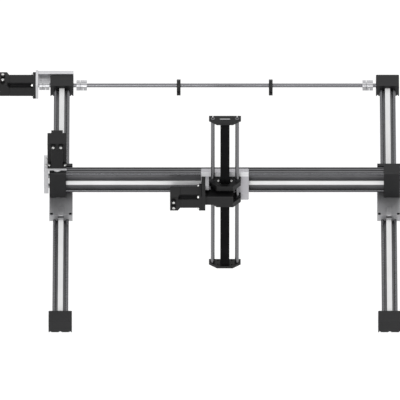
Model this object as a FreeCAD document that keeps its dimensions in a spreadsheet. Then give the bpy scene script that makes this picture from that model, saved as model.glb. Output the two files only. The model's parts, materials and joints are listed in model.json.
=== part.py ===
"""Three-axis gantry robot: two parallel belt axes, a crossing beam and a vertical rack axis.

Millimetres. X runs along the beam, Y along the two rails and away from the front, Z up.
The origin is in the mounting plane under the rails, midway between them and midway along them.
"""
import FreeCAD, Part
import math
import os
import re

import Sketcher
from FreeCAD import Placement, Rotation, Vector

doc = FreeCAD.newDocument("GantryRobot")
sheet = doc.addObject("Spreadsheet::Sheet", "Sizes")

# Driving dimensions in millimetres, counts as plain numbers
SIZES = {
    # Rails
    "rail_pitch": (1029, "between the two rails' centre planes"),
    "rail_length": (1099, "from end block to end block, outside"),
    "block_width": (73, "end block and carriage width"),
    "block_length": (50, "end block along the rail"),
    "block_height": (45, "end block above the mounting plane"),
    "block_chamfer": (2, "broken edges of the end blocks"),
    "groove_margin": (5.5, "foot groove from the block's side"),
    "groove_width": (6, "foot groove"),
    "groove_depth": (5, "foot groove"),
    "notch_radius": (4, "half round notch under each block"),
    "foot_hole_spacing": (40, "fixing holes under each block"),
    "foot_hole_radius": (2.5, "tapped M6 hole"),
    "foot_hole_depth": (9, "tapped hole"),
    "axle_height": (22.3, "pulley axes above the mounting plane"),
    "rod_radius": (5, "guide rod of rails and beam"),
    "rod_margin": (16.5, "rail rod axes from the sides of the end blocks"),
    "rod_height": (29, "rail rod axes above the mounting plane"),
    "profile_margin": (3, "rail profile past its rods' axes"),
    "profile_underside": (6, "rail profile above the mounting plane"),
    "seat_drop": (3, "from a rod's axis to the seat it lies in"),
    "channel_depth": (4, "belt channel below the rod seats"),
    "channel_margin": (5, "belt channel wall from the rod's axis"),
    "chamber_width": (22, "hollow for the returning belt"),
    "chamber_height": (9, "hollow for the returning belt"),
    "side_slot_width": (5, "mounting slot in the profile's side"),
    "side_slot_depth": (4, "mounting slot in the profile's side"),
    # Belts, pulleys and shafts
    "belt_width": (16, "toothed belt"),
    "belt_thickness": (2, "toothed belt"),
    "pulley_radius": (8.2, "inside of the belt on its pulley"),
    "belt_gap": (0.3, "belt to what turns or slides past it"),
    "flange_height": (2.6, "pulley flange above the belt's inside"),
    "flange_thickness": (1.2, "pulley flange"),
    "cavity_clearance": (1.5, "pulley room in an end block"),
    "shaft_radius": (6.25, "drive shaft"),
    "running_gap": (0.05, "shaft or rod in its bearing"),
    "bearing_radius": (11, "ball bearing outside"),
    "bearing_width": (8, "ball bearing"),
    "shaft_hole_gap": (1.2, "shaft hole in a housing wall"),
    "idler_axle_radius": (4, "idler axle"),
    "idler_axle_length": (60, "idler axle"),
    "coupling_radius": (16.5, "shaft coupling"),
    "coupling_length": (33, "shaft coupling"),
    "coupling_offset": (9.5, "end block to shaft coupling"),
    "coupling_slit": (1.6, "slit in a coupling"),
    "slit_share": (0.36, "place of a slit along its coupling, from either end"),
    "shaft_grip": (14, "shaft end inside a coupling"),
    "support_spacing": (291, "between the two shaft supports"),
    "support_thickness": (12, "shaft support"),
    "support_radius": (19, "round top of a shaft support"),
    "support_foot": (46, "foot of a shaft support"),
    "support_foot_height": (10, "foot of a shaft support"),
    "bush_wall": (2.5, "plain bush in a shaft support"),
    # Motors and their brackets
    "motor_size": (60, "square flange"),
    "motor_flange": (9, "flange thickness"),
    "rail_stator": (74.5, "stator of the rails' motor"),
    "beam_stator": (69.8, "stator of the beam's motor"),
    "ram_stator": (58.7, "stator of the ram's motor"),
    "motor_corner": (12, "corner notch of the stator and rear cover"),
    "motor_cover": (32, "rear cover length"),
    "cover_slope": (7, "where the rear cover's connector side slopes down to the stator"),
    "flange_corner": (0.6, "corner cut of a motor flange"),
    "plug_inset": (11.5, "connectors to the motor's rear end"),
    "plug_radius": (7.6, "round connector"),
    "plug_spacing": (24, "between a motor's two connectors"),
    "plug_height": (6, "connector above the cover"),
    "motor_coupling_radius": (15, "motor coupling"),
    "motor_coupling_length": (32, "motor coupling of the rails"),
    "motor_gap": (38.3, "end block to the rail motor's bracket"),
    "bracket_thickness": (8, "motor bracket plate"),
    "back_plate_thickness": (14, "bracket plate behind the drive block"),
    "back_plate_height": (49, "bracket plate behind the drive block"),
    # Carriages
    "carriage_top": (54, "carriage top above the mounting plane"),
    "carriage_thickness": (12, "carriage plate"),
    "carriage_front": (87, "carriage ahead of the bridge's datum"),
    "carriage_length": (200, "carriage along the rail"),
    "carriage_chamfer": (1, "broken edges of the carriage plate"),
    "belt_relief_width": (20, "groove over the belt under a carriage"),
    "belt_relief_depth": (7, "groove over the belt under a carriage"),
    "housing_length": (60, "bearing housing along the rail"),
    "housing_underside": (28, "bearing housing above the mounting plane"),
    "housing_channel": (21, "belt channel through a bearing housing"),
    "housing_roof": (6, "housing over the belt channel"),
    "liner_radius": (6.5, "outside of an open linear bush"),
    "liner_opening": (2, "open side of the bush from the rod's axis"),
    "liner_margin": (3, "bush end inside its housing"),
    "screw_inset": (7, "carriage screw from the plate's edge"),
    "screw_radius": (2.5, "M5 screw shank"),
    "screw_head_radius": (4.3, "socket head"),
    "screw_head_height": (4.5, "socket head"),
    "counterbore_radius": (5, "counterbore for a socket head"),
    "counterbore_depth": (6, "counterbore for a socket head"),
    "screw_length": (20, "shank of a carriage screw"),
    "clamp_length": (38, "belt clamp plate"),
    "clamp_stem": (16, "belt clamp jaw along the rail"),
    "clamp_stem_offset": (20, "belt clamp jaw behind the carriage's front"),
    "clamp_rise": (0.6, "belt clamp above the carriage"),
    "clamp_fit": (0.3, "belt clamp in its slot"),
    # Beam
    "beam_block_height": (107, "beam end block"),
    "beam_block_depth": (45, "beam end block front to back"),
    "beam_block_length": (52, "beam end block along the beam"),
    "beam_block_front": (9.7, "end block ahead of the bridge's datum"),
    "beam_block_setback": (0.4, "end block inside the carriage's outer side"),
    "beam_rod_spacing": (74, "between the two rods of the beam"),
    "beam_rod_y": (6, "beam rod axes behind the bridge's datum"),
    "beam_back": (30, "back of the beam behind the bridge's datum"),
    "beam_belt_face": (2.5, "beam belt face behind the bridge's datum"),
    "beam_pulley_inset": (24.6, "beam pulley axes from the end blocks' outer faces"),
    "beam_slot_width": (5, "mounting slots along the beam"),
    "beam_slot_depth": (4, "mounting slots along the beam"),
    "beam_slot_y": (16.5, "front mounting slot behind the bridge's datum"),
    "beam_back_slot_y": (26, "back mounting slot behind the bridge's datum"),
    "lightening_width": (12, "hollow inside the beam"),
    "lightening_offset": (22, "hollow from the beam's mid height"),
    "adapter_thickness": (12, "angle that carries the beam"),
    "adapter_height": (95.5, "angle above the carriage"),
    "adapter_foot": (56, "angle's foot along the carriage"),
    "beam_motor_rise": (21.6, "beam block to the beam motor's bracket"),
    "beam_coupling_radius": (15, "coupling of the beam motor"),
    "beam_coupling_gap": (1, "coupling to the block below and the bracket above"),
    "side_plate_thickness": (14, "bracket plate beside the beam block"),
    "side_plate_gap": (3, "bracket plate to the beam block"),
    "side_plate_drop": (110, "bracket plate below the beam motor"),
    "boss_radius": (7, "bracket boss"),
    "boss_spacing": (44, "between the two bracket bosses"),
    # Trolley and vertical axis
    "trolley_width": (150, "trolley plate along the beam"),
    "trolley_height": (124, "trolley plate"),
    "trolley_thickness": (15, "trolley plate"),
    "trolley_gap": (2, "trolley plate ahead of the beam rods"),
    "trolley_chamfer": (2, "broken edges of the trolley plate and drive housing"),
    "trolley_centre": (5.9, "trolley plate's middle above the beam's"),
    "trolley_housing_length": (140, "trolley bearing housing"),
    "trolley_housing_height": (30, "trolley bearing housing"),
    "trolley_housing_shift": (4, "trolley bearing housing past its rod"),
    "trolley_liner_length": (40, "trolley bush"),
    "trolley_clamp_length": (40, "belt clamp of the trolley"),
    "ram_width": (100, "end and guide plates across the ram"),
    "ram_rod_spacing": (76, "between the two ram rods"),
    "ram_rod_radius": (6, "ram rod"),
    "ram_rod_y": (-30.5, "ram rod axes from the bridge's datum"),
    "ram_top": (424.3, "top of the ram"),
    "ram_bottom": (-220.5, "underside of the ram"),
    "ram_plate_thickness": (10, "end plate of the ram"),
    "ram_plate_back": (-17.4, "back edge of the end plates"),
    "ram_plate_shoulder": (-32.3, "where an end plate's side turns in"),
    "ram_plate_front": (-49.6, "front edge of the end plates"),
    "ram_plate_nose": (50, "straight front of an end plate"),
    "clamp_slit": (2, "clamping slit of an end plate"),
    "tool_hole_x": (44, "tool holes across the ram"),
    "tool_hole_y": (18, "tool holes front to back"),
    "tool_hole_radius": (2.5, "tapped M6 tool hole"),
    "guide_depth": (45, "guide plate front to back"),
    "guide_thickness": (20, "guide plate"),
    "guide_corner": (24, "front corner cut of a guide plate"),
    "upper_guide_top": (155, "upper guide plate"),
    "lower_guide_top": (83, "lower guide plate"),
    "guide_liner_wall": (1.5, "bush in a guide plate"),
    "rack_width": (28.5, "rack"),
    "rack_back": (-28, "back of the rack"),
    "rack_window_gap": (2.2, "rack to the guide plate's window"),
    "gear_module": (1.5, "tooth size"),
    "gear_teeth": (18, "teeth on the pinion"),
    "pinion_y": (-58, "pinion axis from the bridge's datum"),
    "pinion_z": (105, "pinion axis above the mounting plane"),
    "drive_box_size": (36, "drive housing's square section"),
    "drive_box_left": (61.4, "drive housing to the left of the ram"),
    "drive_box_right": (26, "drive housing to the right of the ram"),
    "drive_box_wall": (2.5, "drive housing in front of the pinion"),
    "drive_cheek_gap": (2, "drive housing cheek to the rack"),
    "drive_flange": (11, "drive housing's motor plate"),
    "tooth_room": (4.5, "drive housing in front of the rack's pitch line"),
    "spacer_front": (-57, "front of the block beside the upper guide plate"),
}

for row, (alias, (number, meaning)) in enumerate(SIZES.items(), start=1):
    sheet.set(f"A{row}", alias)
    sheet.set(f"B{row}", str(number))
    sheet.setAlias(f"B{row}", alias)
    sheet.set(f"C{row}", meaning)
doc.recompute()

# Places worked out from the driving dimensions
PLACES = {
    "rail_end": "rail_length / 2",
    "profile_end": "rail_end - block_length",
    "pulley_y": "rail_end - block_length / 2",
    "seat_height": "rod_height - seat_drop",
    "channel_floor": "seat_height - channel_depth",
    "rod_spacing": "block_width - 2 * rod_margin",
    "profile_width": "rod_spacing + 2 * profile_margin",
    "channel_width": "rod_spacing - 2 * channel_margin",
    "belt_outside": "pulley_radius + belt_thickness",
    "belt_top": "axle_height + belt_outside",
    "return_height": "axle_height - pulley_radius - belt_thickness / 2",
    "flange_radius": "pulley_radius + flange_height",
    "flange_end": "belt_width / 2 + belt_gap + flange_thickness",
    "cavity_half": "flange_end + cavity_clearance",
    "cavity_radius": "flange_radius + cavity_clearance",
    "bearing_end": "cavity_half + bearing_width",
    "shaft_hole": "shaft_radius + shaft_hole_gap",
    "block_outside": "rail_pitch / 2 + block_width / 2",
    "block_inside": "rail_pitch / 2 - block_width / 2",
    "groove_offset": "block_width / 2 - groove_margin",
    "coupling_outer": "block_inside - coupling_offset",
    "coupling_inner": "coupling_outer - coupling_length",
    "motor_face": "block_outside + motor_gap + bracket_thickness",
    "motor_half": "motor_size / 2",
    "carriage_underside": "carriage_top - carriage_thickness",
    "carriage_back": "carriage_length - carriage_front",
    "beam_z": "carriage_top + beam_block_height / 2",
    "beam_half": "beam_rod_spacing / 2 + rod_radius",
    "beam_seat": "beam_rod_y + seat_drop",
    "beam_channel": "beam_seat + channel_depth",
    "beam_channel_half": "beam_rod_spacing / 2 - channel_margin",
    "beam_pulley_y": "beam_belt_face + belt_outside",
    "beam_return": "beam_pulley_y + pulley_radius + belt_thickness / 2",
    "beam_block_reach": "block_outside - beam_block_setback",
    "beam_pulley_x": "beam_block_reach - beam_pulley_inset",
    "beam_end": "beam_block_reach - beam_block_length",
    "beam_block_back": "beam_block_depth - beam_block_front",
    "beam_block_top": "carriage_top + beam_block_height",
    "beam_bracket_top": "beam_block_top + beam_motor_rise + bracket_thickness",
    "side_plate_inside": "beam_block_reach + side_plate_gap",
    "trolley_back": "beam_rod_y - rod_radius - trolley_gap",
    "trolley_front": "trolley_back - trolley_thickness",
    "trolley_z": "beam_z + trolley_centre",
    "ram_rod_x": "ram_rod_spacing / 2",
    "pitch_radius": "gear_module * gear_teeth / 2",
    "drive_box_half": "drive_box_size / 2",
    "drive_box_front": "pinion_y - drive_box_half",
    "drive_box_rear": "pinion_y + drive_box_half",
    "cheek_inside": "rack_width / 2 + drive_cheek_gap",
    "window_half": "rack_width / 2 + rack_window_gap",
}

WORD = re.compile(r"[a-z][a-z_]*")
SIDES = (("left", -1), ("right", 1))
TURNS = {
    "x": Rotation(Vector(0, 1, 0), 90),
    "y": Rotation(Vector(1, 0, 0), -90),
    "z": Rotation(),
}
PLANES = {"x": "YZ_Plane", "y": "XZ_Plane", "z": "XY_Plane"}
parts = []


def formula(text):
    """Write a size or place as an expression on the sheet's aliases."""
    def swap(match):
        word = match.group(0)
        if word in PLACES:
            return "(" + formula(PLACES[word]) + ")"
        if word in SIZES:
            return "Sizes." + word
        return word
    return WORD.sub(swap, str(text))


def value(text):
    """The number that a size or place works out to."""
    return float(sheet.evalExpression(formula(text)))


def bind(item, target, text):
    item.setExpression(target, formula(text))


def place(item, base):
    for axis, text in zip("xyz", base):
        bind(item, f"Placement.Base.{axis}", text)


def box(x, y, z):
    """A box between two places along each axis."""
    item = doc.addObject("Part::Box", "Box")
    for target, (low, high) in zip(("Length", "Width", "Height"), (x, y, z)):
        bind(item, target, f"({high}) - ({low})")
    place(item, (x[0], y[0], z[0]))
    return item


def along(axis, start, centre):
    """The base point of something that runs along an axis."""
    if axis == "x":
        return (start, centre[0], centre[1])
    if axis == "y":
        return (centre[0], start, centre[1])
    return (centre[0], centre[1], start)


def cylinder(axis, centre, span, radius):
    """A cylinder about a line along the axis, from one place to another."""
    item = doc.addObject("Part::Cylinder", "Cylinder")
    item.Placement = Placement(Vector(), TURNS[axis])
    bind(item, "Radius", radius)
    bind(item, "Height", f"({span[1]}) - ({span[0]})")
    place(item, along(axis, span[0], centre))
    return item


def prism(axis, outline, span):
    """A padded sketch: its outline across the axis, its length along it."""
    body = doc.addObject("PartDesign::Body", "Body")
    sketch = body.newObject("Sketcher::SketchObject", "Outline")
    plane = [item for item in body.Origin.OriginFeatures if item.Role == PLANES[axis]]
    sketch.AttachmentSupport = (plane[0], [""])
    sketch.MapMode = "FlatFace"
    points = [Vector(value(across), value(up), 0) for across, up in outline]
    count = len(points)
    for index in range(count):
        sketch.addGeometry(Part.LineSegment(points[index], points[(index + 1) % count]), False)
    for index in range(count):
        sketch.addConstraint(Sketcher.Constraint("Coincident", index, 2, (index + 1) % count, 1))
    for index, (across, up) in enumerate(outline):
        for kind, number, text in (("DistanceX", points[index].x, across), ("DistanceY", points[index].y, up)):
            entry = sketch.addConstraint(Sketcher.Constraint(kind, -1, 1, index, 1, number))
            bind(sketch, f"Constraints[{entry}]", text)
    pad = body.newObject("PartDesign::Pad", "Pad")
    pad.Profile = sketch
    bind(pad, "Length", f"({span[1]}) - ({span[0]})")
    # A sketch in the XZ plane pads towards the front, so its body starts at the far end
    bind(body, f"Placement.Base.{axis}", span[1] if axis == "y" else span[0])
    return body


def mirrored(half, centre="0"):
    """A full outline from its right half, about an upright line."""
    right = [(f"{centre} + ({across})", up) for across, up in half]
    left = [(f"{centre} - ({across})", up) for across, up in reversed(half)]
    return right + left


def block(axis, across, up, span, corner):
    """A bar along the axis with its four long edges cut."""
    low, high = across
    bottom, top = up
    outline = [
        (f"{low} + {corner}", bottom), (f"{high} - {corner}", bottom),
        (high, f"{bottom} + {corner}"), (high, f"{top} - {corner}"),
        (f"{high} - {corner}", top), (f"{low} + {corner}", top),
        (low, f"{top} - {corner}"), (low, f"{bottom} + {corner}"),
    ]
    return prism(axis, outline, span)


def notched(axis, across, up, span, corner):
    """A bar along the axis with a square notch along each long edge."""
    low, high = across
    bottom, top = up
    outline = [
        (f"{low} + {corner}", bottom), (f"{high} - {corner}", bottom),
        (f"{high} - {corner}", f"{bottom} + {corner}"), (high, f"{bottom} + {corner}"),
        (high, f"{top} - {corner}"), (f"{high} - {corner}", f"{top} - {corner}"),
        (f"{high} - {corner}", top), (f"{low} + {corner}", top),
        (f"{low} + {corner}", f"{top} - {corner}"), (low, f"{top} - {corner}"),
        (low, f"{bottom} + {corner}"), (f"{low} + {corner}", f"{bottom} + {corner}"),
    ]
    return prism(axis, outline, span)


def fuse(*items):
    item = doc.addObject("Part::MultiFuse", "Fusion")
    item.Shapes = list(items)
    item.Refine = True
    return item


def cut(base, *tools):
    item = doc.addObject("Part::Cut", "Cut")
    item.Base = base
    item.Tool = tools[0] if len(tools) == 1 else fuse(*tools)
    return item


def group(*items):
    """Separate solids that share one node."""
    item = doc.addObject("Part::Compound", "Group")
    item.Links = list(items)
    return item


def ring(axis, centre, span, outer, inner):
    return cut(cylinder(axis, centre, span, outer), cylinder(axis, centre, span, inner))


def part(label, item):
    item.Label = label
    parts.append(item)
    return item


def ordered(sign, near, far):
    """Two places on one side of the middle, lowest first."""
    if sign < 0:
        return (f"-({far})", f"-({near})")
    return (near, far)


def around(middle, half):
    return (f"{middle} - ({half})", f"{middle} + ({half})")


# Rails
def rail_profile(centre):
    half = [
        ("profile_width / 2", "profile_underside"), ("profile_width / 2", "seat_height"),
        ("channel_width / 2", "seat_height"), ("channel_width / 2", "channel_floor"),
    ]
    span = ("-profile_end", "profile_end")
    blank = prism("y", mirrored(half, centre), span)
    chamber = box(around(centre, "chamber_width / 2"), span, around("return_height", "chamber_height / 2"))
    slots = [box((f"{centre} + {sign} * profile_width / 2 - side_slot_depth",
                  f"{centre} + {sign} * profile_width / 2 + side_slot_depth"), span,
                 around("return_height", "side_slot_width / 2")) for sign in (-1, 1)]
    grooves = rail_rods(centre)
    return cut(blank, chamber, *slots, *grooves)


def rail_rods(centre):
    return [cylinder("y", (f"{centre} + {sign} * rod_spacing / 2", "rod_height"),
                     ("-profile_end", "profile_end"), "rod_radius") for sign in (-1, 1)]


def end_block(centre, sign, axle_cuts):
    half = [
        ("groove_offset - groove_width / 2", "0"), ("groove_offset", "groove_depth"),
        ("groove_offset + groove_width / 2", "0"), ("block_width / 2", "0"),
        ("block_width / 2", "block_height - block_chamfer"), ("block_width / 2 - block_chamfer", "block_height"),
    ]
    near = ordered(sign, "profile_end", "rail_end")
    blank = prism("y", mirrored(half, centre), near)
    cavity = box(around(centre, "cavity_half"), ordered(sign, "profile_end", "pulley_y + cavity_radius"),
                 around("axle_height", "cavity_radius"))
    notch = cylinder("y", (centre, "0"), near, "notch_radius")
    holes = [cylinder("z", (f"{centre} + {step} * foot_hole_spacing / 2", f"{sign} * pulley_y"),
                      ("0", "foot_hole_depth"), "foot_hole_radius") for step in (-1, 1)]
    return cut(blank, cavity, notch, *holes, *axle_cuts)


def loop(axis, ends, centre, width, radius):
    """A closed belt outline as a solid: a bar with two round ends."""
    low, high = ends
    if axis == "x":
        bar = box(width, (low, high), around(centre, radius))
        turns = [cylinder("x", (end, centre), width, radius) for end in ends]
    else:
        bar = box((low, high), around(centre, radius), width)
        turns = [cylinder("z", (end, centre), width, radius) for end in ends]
    return fuse(bar, *turns)


def belt(axis, ends, centre, width):
    return cut(loop(axis, ends, centre, width, "belt_outside"), loop(axis, ends, centre, width, "pulley_radius"))


def pulley(axis, line, middle):
    """Pulley core and its two flanges, each clear of the belt."""
    core = cylinder(axis, line, around(middle, "flange_end"), "pulley_radius - belt_gap")
    flanges = [cylinder(axis, line, (f"{middle} + {low}", f"{middle} + {high}"), "flange_radius")
               for low, high in (("flange_end - flange_thickness", "flange_end"),
                                 ("(-flange_end)", "(-flange_end) + flange_thickness"))]
    return [core, *flanges]


DRIVE_LINE = ("pulley_y", "axle_height")
IDLER_LINE = ("-pulley_y", "axle_height")

rods = []
bearings = []
axles = []
for name, side in SIDES:
    centre = f"({side} * rail_pitch / 2)"
    part(f"{name}_rail_profile", rail_profile(centre))
    rods += rail_rods(centre)
    shaft_bore = cylinder("x", DRIVE_LINE, around(centre, "block_width"), "shaft_hole")
    bearing_bore = cylinder("x", DRIVE_LINE, around(centre, "bearing_end"), "bearing_radius")
    part(f"{name}_drive_block", end_block(centre, 1, [shaft_bore, bearing_bore]))
    axle = cylinder("x", IDLER_LINE, around(centre, "idler_axle_length / 2"), "idler_axle_radius")
    axle_bore = cylinder("x", IDLER_LINE, around(centre, "idler_axle_length / 2"), "idler_axle_radius")
    axles.append(axle)
    part(f"{name}_idler_block", end_block(centre, -1, [axle_bore]))
    part(f"{name}_rail_belt", belt("x", ("-pulley_y", "pulley_y"), "axle_height", around(centre, "belt_width / 2")))
    for step in (-1, 1):
        reach = ordered(step, "cavity_half", "bearing_end")
        span = (f"{centre} + ({reach[0]})", f"{centre} + ({reach[1]})")
        bearings.append(ring("x", DRIVE_LINE, span, "bearing_radius", "shaft_radius + running_gap"))
    idler = fuse(*pulley("x", IDLER_LINE, centre))
    bore = cylinder("x", IDLER_LINE, around(centre, "cavity_half"), "idler_axle_radius + running_gap")
    part(f"{name}_idler_pulley", cut(idler, bore))
part("rail_rods", group(*rods))
part("drive_bearings", group(*bearings))
part("rail_idler_axles", group(*axles))


# Shaft between the rails, its couplings and supports
def coupling(axis, line, span, outer, inner):
    """A clamp coupling with two slits, cut from opposite sides."""
    low, high = span
    blank = ring(axis, line, span, outer, inner)
    slits = []
    for share, sign in (("slit_share", 1), ("(1 - slit_share)", -1)):
        middle = f"({low}) + {share} * (({high}) - ({low}))"
        thick = around(middle, "coupling_slit / 2")
        wide = ordered(sign, f"-({inner}) / 2", outer)
        if axis == "x":
            slits.append(box(thick, around(line[0], outer),
                             (f"{line[1]} + ({wide[0]})", f"{line[1]} + ({wide[1]})")))
        else:
            slits.append(box(around(line[0], outer),
                             (f"{line[1]} + ({wide[0]})", f"{line[1]} + ({wide[1]})"), thick))
    return cut(blank, *slits)


shaft_end = "(coupling_inner + shaft_grip)"
part("sync_shaft", cylinder("x", DRIVE_LINE, (f"-{shaft_end}", shaft_end), "shaft_radius"))
part("shaft_couplings", group(*[
    coupling("x", DRIVE_LINE, ordered(side, "coupling_inner", "coupling_outer"), "coupling_radius", "shaft_radius")
    for name, side in SIDES]))
stub_in = "coupling_outer - shaft_grip"
left_stub = cylinder("x", DRIVE_LINE, ("-(block_outside + shaft_grip)", f"-({stub_in})"), "shaft_radius")
right_stub = cylinder("x", DRIVE_LINE, (stub_in, "rail_pitch / 2 + bearing_end"), "shaft_radius")
part("drive_pulleys", group(
    fuse(left_stub, *pulley("x", DRIVE_LINE, "(-rail_pitch / 2)")),
    fuse(right_stub, *pulley("x", DRIVE_LINE, "(rail_pitch / 2)"))))

coupling_gap = "((motor_gap - motor_coupling_length) / 2)"
coupling_span = (f"-(block_outside + motor_gap - {coupling_gap})", f"-(block_outside + {coupling_gap})")
motor_shaft = cylinder("x", DRIVE_LINE, ("-motor_face", "-(block_outside + motor_gap - shaft_grip)"), "shaft_radius")
part("rail_motor_coupling", group(
    coupling("x", DRIVE_LINE, coupling_span, "motor_coupling_radius", "shaft_radius"), motor_shaft))


def shaft_support(sign):
    """A block with a round top over a wide foot."""
    middle = f"({sign} * support_spacing / 2)"
    span = around(middle, "support_thickness / 2")
    top = cylinder("x", DRIVE_LINE, span, "support_radius")
    post = box(span, around("pulley_y", "support_radius"), ("0", "axle_height"))
    foot = box(span, around("pulley_y", "support_foot / 2"), ("0", "support_foot_height"))
    return cut(fuse(top, post, foot), cylinder("x", DRIVE_LINE, span, "shaft_radius + bush_wall"))


part("shaft_supports", group(*[shaft_support(side) for name, side in SIDES]))
part("support_bushes", group(*[
    ring("x", DRIVE_LINE, around(f"({side} * support_spacing / 2)", "support_thickness / 2"),
         "shaft_radius + bush_wall", "shaft_radius + running_gap") for name, side in SIDES]))


# Motors
def motor(prefix, axis, sign, face, line, plug_axis, plug_sign):
    """Stator with its flange, rear cover and two round connectors."""
    def reach(near, far):
        low, high = ordered(sign, near, far)
        return (f"({face}) + ({low})", f"({face}) + ({high})")

    def along(distance):
        return f"({face}) + {sign} * ({distance})"

    across = around(line[0], "motor_half")
    up = around(line[1], "motor_half")
    flange = block(axis, across, up, reach("0", "motor_flange"), "flange_corner")
    near = f"motor_flange + {prefix.replace('motor', 'stator')}"
    far = f"{near} + motor_cover"
    stator = notched(axis, across, up, reach("motor_flange", near), "motor_corner")
    part(f"{prefix}_body", fuse(flange, stator))
    # The cover has no notches on its connector side
    plug_line, side_line = (line[0], line[1]) if (axis, plug_axis) == ("x", "y") else (line[1], line[0])
    shoulder = f"{plug_line} + {plug_sign} * (motor_half - motor_corner)"
    top = f"{plug_line} + {plug_sign} * motor_half"
    pad = [(along(near), shoulder), (along(f"{near} + cover_slope"), top), (along(far), top),
           (along(far), shoulder)]
    if axis == "z":
        pad = [(outward, distance) for distance, outward in pad]
    side = ({"x", "y", "z"} - {axis, plug_axis}).pop()
    part(f"{prefix}_cover", fuse(notched(axis, across, up, reach(near, far), "motor_corner"),
                                 prism(side, pad, around(side_line, "motor_half"))))
    middle = along(f"{far} - plug_inset")
    plugs = []
    for step in (-1, 1):
        offset = f"{step} * plug_spacing / 2"
        low, high = ordered(plug_sign, "motor_half", "motor_half + plug_height")
        if axis == "z":
            point = (f"{line[0]} + {offset}", middle)
            out = (f"{line[1]} + ({low})", f"{line[1]} + ({high})")
        elif plug_axis == "y":
            point = (middle, f"{line[1]} + {offset}")
            out = (f"{line[0]} + ({low})", f"{line[0]} + ({high})")
        else:
            point = (middle, f"{line[0]} + {offset}")
            out = (f"{line[1]} + ({low})", f"{line[1]} + ({high})")
        plugs.append(cylinder(plug_axis, point, out, "plug_radius"))
    part(f"{prefix}_connectors", group(*plugs))


motor("rail_motor", "x", -1, "-motor_face", DRIVE_LINE, "z", 1)
back_plate = ("rail_end", "rail_end + back_plate_thickness")
plate_x = ("-motor_face", "-(block_outside + motor_gap)")
motor_plate = box(plate_x, ("pulley_y - motor_half", back_plate[1]), around("axle_height", "motor_half"))
rear_plate = box(("-motor_face", "-block_inside"), back_plate, ("0", "back_plate_height"))
shaft_room = cylinder("x", DRIVE_LINE, plate_x, "shaft_hole")
part("rail_motor_bracket", cut(fuse(motor_plate, rear_plate), shaft_room))


# Carriages
def housing_spans():
    return (("-carriage_front", "-carriage_front + housing_length"),
            ("carriage_back - housing_length", "carriage_back"))


def bearing_housing(centre, span, bores):
    half = [
        ("housing_channel / 2", "carriage_underside - housing_roof"), ("housing_channel / 2", "housing_underside"),
        ("block_width / 2", "housing_underside"), ("block_width / 2", "carriage_underside"),
    ]
    return cut(prism("y", mirrored(half, centre), span), *bores)


def carriage_screw(x, y):
    head_bottom = "carriage_top - counterbore_depth"
    head = cylinder("z", (x, y), (head_bottom, f"{head_bottom} + screw_head_height"), "screw_head_radius")
    shank = cylinder("z", (x, y), (f"{head_bottom} - screw_length", head_bottom), "screw_radius")
    return fuse(head, shank)


housings = []
liners = []
clamps = []
screws = []
adapters = []
for name, side in SIDES:
    centre = f"({side} * rail_pitch / 2)"
    spots = [(f"{centre} + {across} * (block_width / 2 - screw_inset)", y)
             for across in (-1, 1) for y in ("-carriage_front + screw_inset", "carriage_back - screw_inset")]
    screws += [carriage_screw(x, y) for x, y in spots]
    length = ("-carriage_front", "carriage_back")
    plate = block("y", around(centre, "block_width / 2"), ("carriage_underside", "carriage_top"), length,
                  "carriage_chamfer")
    relief = box(around(centre, "belt_relief_width / 2"), length,
                 ("carriage_underside", "carriage_underside + belt_relief_depth"))
    clamp_x = around(centre, "belt_width / 2")
    clamp_y = ("-carriage_front + clamp_fit", "-carriage_front + clamp_length")
    slot = box(around(centre, "belt_width / 2 + clamp_fit"), ("-carriage_front", f"{clamp_y[1]} + clamp_fit"),
               ("carriage_underside", "carriage_top"))
    holes = [cylinder("z", spot, ("carriage_underside", "carriage_top"), "screw_radius") for spot in spots]
    sinks = [cylinder("z", spot, ("carriage_top - counterbore_depth", "carriage_top"), "counterbore_radius")
             for spot in spots]
    part(f"{name}_carriage_plate", cut(plate, relief, slot, *holes, *sinks))
    clamp_top = box(clamp_x, clamp_y, ("carriage_underside + belt_relief_depth", "carriage_top + clamp_rise"))
    stem_y = ("-carriage_front + clamp_stem_offset", "-carriage_front + clamp_stem_offset + clamp_stem")
    stem_room = (around(centre, "belt_width / 2 + clamp_fit"),
                 (f"{stem_y[0]} - clamp_fit", f"{stem_y[1]} + clamp_fit"),
                 ("housing_underside", "carriage_underside"))
    stem = box(clamp_x, stem_y, ("belt_top + belt_gap", "carriage_top"))
    clamps.append(fuse(clamp_top, stem))
    for span in housing_spans():
        bores = []
        for step in (-1, 1):
            line = (f"{centre} + {step} * rod_spacing / 2", "rod_height")
            bores.append(cylinder("y", line, span, "liner_radius"))
            inner = (f"{span[0]} + liner_margin", f"{span[1]} - liner_margin")
            opening = box(around(line[0], "liner_radius"), inner,
                          ("rod_height - liner_radius", "rod_height - liner_opening"))
            liners.append(cut(ring("y", line, inner, "liner_radius", "rod_radius + running_gap"), opening))
        for x, y in spots:
            bores.append(cylinder("z", (x, y), ("housing_underside", "carriage_underside"), "screw_radius"))
        bores.append(box(*stem_room))
        housings.append(bearing_housing(centre, span, bores))
    adapter = [
        ("beam_block_back", "carriage_top"), ("beam_block_back + adapter_foot", "carriage_top"),
        ("beam_block_back + adapter_foot", "carriage_top + adapter_thickness"),
        ("beam_block_back + 2 * adapter_thickness", "carriage_top + adapter_thickness"),
        ("beam_block_back + adapter_thickness", "carriage_top + 2 * adapter_thickness"),
        ("beam_block_back + adapter_thickness", "carriage_top + adapter_height"),
        ("beam_block_back", "carriage_top + adapter_height"),
    ]
    adapters.append(prism("x", adapter, around(centre, "block_width / 2")))
part("carriage_housings", group(*housings))
part("carriage_bushes", group(*liners))
part("rail_belt_clamps", group(*clamps))
part("carriage_screws", group(*screws))
part("beam_adapters", group(*adapters))


# Beam
def beam_rod(sign, radius="rod_radius", span=("-beam_end", "beam_end")):
    return cylinder("x", ("beam_rod_y", f"beam_z + {sign} * beam_rod_spacing / 2"), span, radius)


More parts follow.
